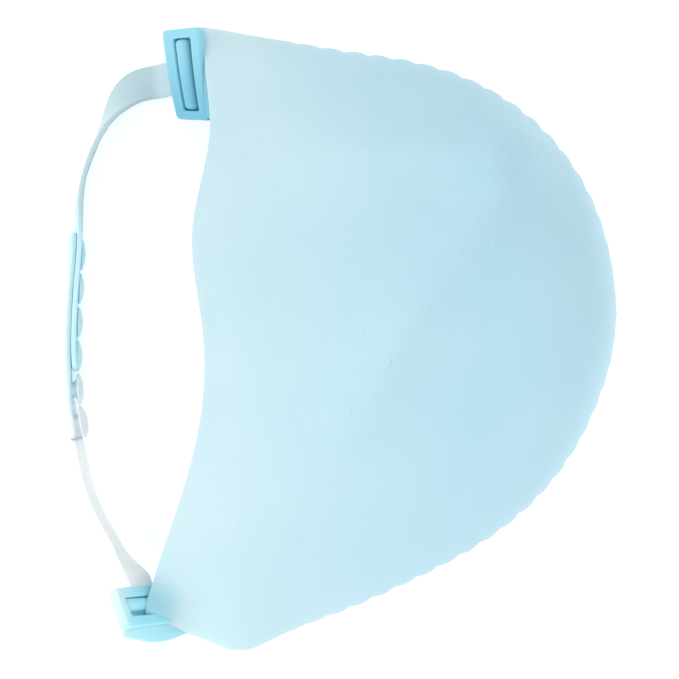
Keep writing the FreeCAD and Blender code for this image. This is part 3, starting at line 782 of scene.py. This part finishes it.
def build_button(number):
    """A domed button on a stem that flares into the strap."""
    mark = stud_strap.mark_at_y(STUD_Y[number - 1])
    p, run, across, through = (a[0] for a in stud_strap.at(mark))
    face = STRAP_THICK / 2
    under = STRAP_THICK * 1.5 + 2 * STRAP_GAP
    # height above the strap's middle, and radius: the flared stem, the sloping underside, the edge, the dome
    profile = [(face - 0.5, 3.3), (face - 0.02, 3.2), (face + 0.3, 2.9), (face + 0.8, 3.0)]
    profile += [(under - 0.9, 3.5), (under - 0.5, 4.2), (under - 0.2, 4.9), (under + 0.02, 5.6)]
    for a in np.linspace(-80, 40, 7):
        r = math.radians(a)
        profile.append((under + 0.42 + 0.36 * math.sin(r), 5.9 + 0.4 * math.cos(r)))
    for r in (5.6, 4.9, 4.0, 3.0, 2.0, 1.0, 0.4):
        profile.append((under + 0.72 + 1.45 * (1 - (r / 6.2) ** 2.2), r))
    around = 40
    points = []
    for x, r in profile:
        for k in range(around):
            a = 2 * math.pi * k / around
            points.append(p + through * x + run * r * math.cos(a) + across * r * math.sin(a))
    faces = grid_faces(len(profile), around)
    faces.append(tuple(range(around))[::-1])
    faces.append(tuple((len(profile) - 1) * around + k for k in range(around)))
    piece = mesh_piece(f"button_{number}", np.array(points), faces)
    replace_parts(piece, f"stud_{number}")
    return piece


# ---------------------------------------------------------------------------------------------------
# Materials
# ---------------------------------------------------------------------------------------------------
FRAME_BLUE = (0.30, 0.68, 0.80)


def silicone(name, colours, gradient, roughness, scatter, depth=0.001, ears=()):
    """Milky silicone: a body that changes colour along an axis, mostly as painted light and shade, faint
    clouding and a satin grained skin.

    colours are the two ends' colours; gradient is the axis and its two ends in metres; scatter and depth
    are the subsurface share and its scale. ears are places where the wall thickens into a frame and is
    bluer: a centre, the distance up to which it is bluest, and the distance from which it isn't.
    """
    material = bpy.data.materials.new(name)
    material.use_nodes = True
    nodes, links = material.node_tree.nodes, material.node_tree.links
    shader = nodes["Principled BSDF"]
    place = nodes.new("ShaderNodeTexCoord")
    split = nodes.new("ShaderNodeSeparateXYZ")
    # painted light and shade: thin is not a wall thickness but the share along the gradient axis; the body
    # colour runs from one end's colour to the other's, paler where light falls and deeper where it is in
    # shade
    thin = nodes.new("ShaderNodeMapRange")
    thin.interpolation_type = "SMOOTHSTEP"
    thin.inputs["From Min"].default_value, thin.inputs["From Max"].default_value = gradient[1:]
    body = nodes.new("ShaderNodeMix")
    body.data_type = "RGBA"
    body.inputs["A"].default_value = (*colours[0], 1)
    body.inputs["B"].default_value = (*colours[1], 1)
    cloud = nodes.new("ShaderNodeTexNoise")
    cloud.inputs["Scale"].default_value = 22.0
    cloud.inputs["Detail"].default_value = 3.0
    cloud.inputs["Roughness"].default_value = 0.45
    ramp = nodes.new("ShaderNodeValToRGB")
    ramp.color_ramp.elements[0].position = 0.3
    ramp.color_ramp.elements[0].color = (0.93, 0.97, 0.985, 1)
    ramp.color_ramp.elements[1].position = 0.7
    ramp.color_ramp.elements[1].color = (1, 1, 1, 1)
    clouded = nodes.new("ShaderNodeMix")
    clouded.data_type = "RGBA"
    clouded.blend_type = "MULTIPLY"
    clouded.inputs["Factor"].default_value = 1.0
    grain = nodes.new("ShaderNodeTexNoise")
    grain.inputs["Scale"].default_value = 900.0
    grain.inputs["Detail"].default_value = 2.0
    bump = nodes.new("ShaderNodeBump")
    bump.inputs["Strength"].default_value = 0.05
    bump.inputs["Distance"].default_value = 0.0004
    sheen_map = nodes.new("ShaderNodeMapRange")
    sheen_map.inputs["To Min"].default_value = roughness - 0.05
    sheen_map.inputs["To Max"].default_value = roughness + 0.07
    links.new(place.outputs["Object"], split.inputs["Vector"])
    links.new(split.outputs[gradient[0]], thin.inputs["Value"])
    links.new(thin.outputs["Result"], body.inputs["Factor"])
    links.new(place.outputs["Object"], cloud.inputs["Vector"])
    links.new(place.outputs["Object"], grain.inputs["Vector"])
    links.new(cloud.outputs["Fac"], ramp.inputs["Fac"])
    tinted = body.outputs["Result"]
    for centre, near, far in ears:
        away = nodes.new("ShaderNodeVectorMath")
        away.operation = "DISTANCE"
        away.inputs[1].default_value = centre
        reach = nodes.new("ShaderNodeMapRange")
        reach.interpolation_type = "SMOOTHSTEP"
        for socket, value in (("From Min", near), ("From Max", far), ("To Min", 0.75), ("To Max", 0.0)):
            reach.inputs[socket].default_value = value
        deepen = nodes.new("ShaderNodeMix")
        deepen.data_type = "RGBA"
        deepen.inputs["B"].default_value = (*FRAME_BLUE, 1)
        links.new(place.outputs["Object"], away.inputs[0])
        links.new(away.outputs["Value"], reach.inputs["Value"])
        links.new(reach.outputs["Result"], deepen.inputs["Factor"])
        links.new(tinted, deepen.inputs["A"])
        tinted = deepen.outputs["Result"]
    links.new(tinted, clouded.inputs["A"])
    links.new(ramp.outputs["Color"], clouded.inputs["B"])
    links.new(clouded.outputs["Result"], shader.inputs["Base Color"])
    links.new(grain.outputs["Fac"], bump.inputs["Height"])
    links.new(bump.outputs["Normal"], shader.inputs["Normal"])
    links.new(cloud.outputs["Fac"], sheen_map.inputs["Value"])
    links.new(sheen_map.outputs["Result"], shader.inputs["Roughness"])
    shader.inputs["IOR"].default_value = 1.41
    shader.inputs["Specular IOR Level"].default_value = 0.35
    shader.inputs["Subsurface Weight"].default_value = scatter
    shader.inputs["Subsurface Radius"].default_value = (0.7, 1.0, 1.1)
    shader.inputs["Subsurface Scale"].default_value = depth
    return material


EARS = [((-0.0745, -0.1095, 0.0240), 0.004, 0.017)]
# painted light and shade: the cap is painted paler and whiter towards the head opening, where the key light
# falls and a white sheen lies, and deeper blue towards the crown's shaded flank
CAP = silicone(
    "silicone_cap", ((0.60, 0.78, 0.835), (0.46, 0.69, 0.795)), ("X", -0.075, 0.06), 0.42, 0.0, ears=EARS,
)
HOLE_FRAME = silicone(
    "silicone_hole_frame", ((0.20, 0.53, 0.67), (0.31, 0.65, 0.785)), ("Y", 0.088, 0.124), 0.36, 0.5, 0.003,
)
# painted light: this copy of the frame silicone is painted brighter than the first frame's, and palest at its
# -X end, whose faces turn towards the key light
STUD_FRAME = silicone(
    "silicone_stud_frame", ((0.72, 0.90, 0.95), (0.38, 0.80, 0.92)), ("X", -0.090, -0.077), 0.36, 0.5, 0.003,
)
SKIRT = silicone(
    "silicone_skirt", ((0.47, 0.78, 0.88), (0.43, 0.73, 0.85)), ("X", -0.088, -0.062), 0.36, 0.5, 0.003,
)
# painted light and shade: the two strap halves are lit and shaded copies of one silicone; the hole half is
# painted greyer towards the upper ear, where it lies in shade
HOLE_STRAP = silicone(
    "silicone_hole_strap", ((0.58, 0.90, 0.97), (0.52, 0.67, 0.72)), ("Y", 0.036, 0.056), 0.40, 0.0,
)
# painted light: the stud half is painted almost white towards its lower end, where light falls on it, and
# bluer towards the middle
STUD_STRAP = silicone(
    "silicone_stud_strap", ((0.98, 0.99, 0.99), (0.54, 0.76, 0.85)), ("Y", -0.06, 0.0), 0.40, 0.9, 0.005,
)
BUTTON = silicone(
    "silicone_button", ((0.93, 0.97, 0.985), (0.60, 0.92, 0.98)), ("Y", -0.036, -0.004), 0.38, 0.0,
)


def dressed(piece, material, body=None):
    """The piece with its material and its material slot, riding on a body if one is named."""
    piece.data.materials.clear()
    piece.data.materials.append(material)
    if body:
        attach(piece, body)
    return piece


# ---------------------------------------------------------------------------------------------------
# Assembly
# ---------------------------------------------------------------------------------------------------
cap_shell = build_cap_shell()
dressed(build_rings(cap_shell), CAP, "cap")
dressed(cap_shell, CAP, "cap")

hole_frame = build_frame("hole_side_ear_frame", HOLE_SEAT, hole_warp)
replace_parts(dressed(hole_frame, HOLE_FRAME, "cap"), "hole_side_frame")
stud_frame = build_frame("stud_side_ear_frame", STUD_SEAT, stud_warp)
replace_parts(dressed(stud_frame, STUD_FRAME, "cap"), "stud_side_frame")
hole_web = build_web("hole_side_ear_web", HOLE_SEAT, hole_warp, HOLE_WEB_EDGE)
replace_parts(dressed(hole_web, HOLE_FRAME, "cap"), "hole_side_web")
stud_web = build_web("stud_side_ear_web", STUD_SEAT, stud_warp, STUD_WEB_EDGE)
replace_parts(dressed(stud_web, SKIRT, "cap"), "stud_side_web")
hole_bar = mesh_piece("hole_side_toggle_bar", *toggle_bar(HOLE_SEAT, hole_warp))
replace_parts(dressed(hole_bar, HOLE_FRAME, "cap"), "hole_strap_toggle")
stud_bar = mesh_piece("stud_side_toggle_bar", *toggle_bar(STUD_SEAT, stud_warp))
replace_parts(dressed(stud_bar, STUD_FRAME, "cap"), "stud_strap_toggle")

hole_piece = dressed(build_hole_strap(), HOLE_STRAP)
band_piece, tail_piece = build_stud_strap()
dressed(band_piece, STUD_STRAP)
dressed(tail_piece, STUD_STRAP)


hole_bend = [metres(p) for p in neck_points(HOLE_SEAT, (NECK_BEND_FROM, HOLE_BEND_TO))]
stud_bend = [metres(p) for p in neck_points(STUD_SEAT, (NECK_BEND_FROM, STUD_BEND_TO))]
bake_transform(hole_piece)
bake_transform(band_piece)
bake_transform(tail_piece)
for number in range(1, 7):
    dressed(build_button(number), BUTTON, "stud_strap" if number == 6 else "stud_tail")


# ---------------------------------------------------------------------------------------------------
# Floor, light and camera
# ---------------------------------------------------------------------------------------------------
def table_material(name, colour, roughness, glow):
    """An even material that gives off a little white light."""
    material = bpy.data.materials.new(name)
    material.use_nodes = True
    shader = material.node_tree.nodes["Principled BSDF"]
    shader.inputs["Base Color"].default_value = (*colour, 1)
    shader.inputs["Roughness"].default_value = roughness
    shader.inputs["Emission Color"].default_value = (1, 1, 1, 1)
    shader.inputs["Emission Strength"].default_value = glow
    return material


FLOOR_HALF, FLOOR_Z = 4.0, -0.0004
floor_corners = [(x * FLOOR_HALF, y * FLOOR_HALF, FLOOR_Z) for x, y in ((-1, -1), (1, -1), (1, 1), (-1, 1))]
floor_mesh = bpy.data.meshes.new("floor")
floor_mesh.from_pydata(floor_corners, [], [(0, 1, 2, 3)])
floor = bpy.data.objects.new("floor", floor_mesh)
floor_mesh.materials.append(table_material("floor_white", (0.95, 0.95, 0.95), 0.9, 0.35))
bpy.context.scene.collection.objects.link(floor)


def area_light(name, place, aim, size_m, power):
    """A round white light at a place, turned to an aim; lengths are in metres and power is in watts."""
    light = bpy.data.lights.new(name, "AREA")
    light.shape = "DISK"
    light.size = size_m
    light.energy = power
    lamp = bpy.data.objects.new(name, light)
    lamp.location = place
    lamp.rotation_euler = (Vector(aim) - Vector(place)).to_track_quat("-Z", "Y").to_euler()
    bpy.context.scene.collection.objects.link(lamp)


area_light("key", (-1.7, -0.5, 1.2), (0, 0, 0.02), 1.2, 11.0)
area_light("top", (0.0, 0.0, 2.0), (0, 0, 0.02), 2.6, 5.0)
area_light("fill", (1.0, -1.3, 0.9), (-0.08, -0.06, 0.02), 0.9, 2.4)

world = bpy.data.worlds.new("studio")
world.use_nodes = True
world.node_tree.nodes["Background"].inputs["Color"].default_value = (1, 1, 1, 1)
world.node_tree.nodes["Background"].inputs["Strength"].default_value = 0.85
bpy.context.scene.world = world

# The camera looks straight down; lengths are in metres, and VIEW_WIDTH is what it sees at FRAMED_HEIGHT
VIEW_WIDTH = 0.2716
FRAMED_HEIGHT = 0.015
LENS = 150.0
camera = bpy.data.cameras.new("camera")
camera.lens = LENS
camera.sensor_width = 36.0
camera.clip_start = 0.05
camera.clip_end = 20.0
eye = bpy.data.objects.new("camera", camera)
eye.location = (0.0002, -0.0002, FRAMED_HEIGHT + VIEW_WIDTH * LENS / camera.sensor_width)
eye.rotation_euler = (0, 0, 0)
bpy.context.scene.collection.objects.link(eye)
bpy.context.scene.camera = eye
bpy.context.scene.view_settings.view_transform = "Standard"
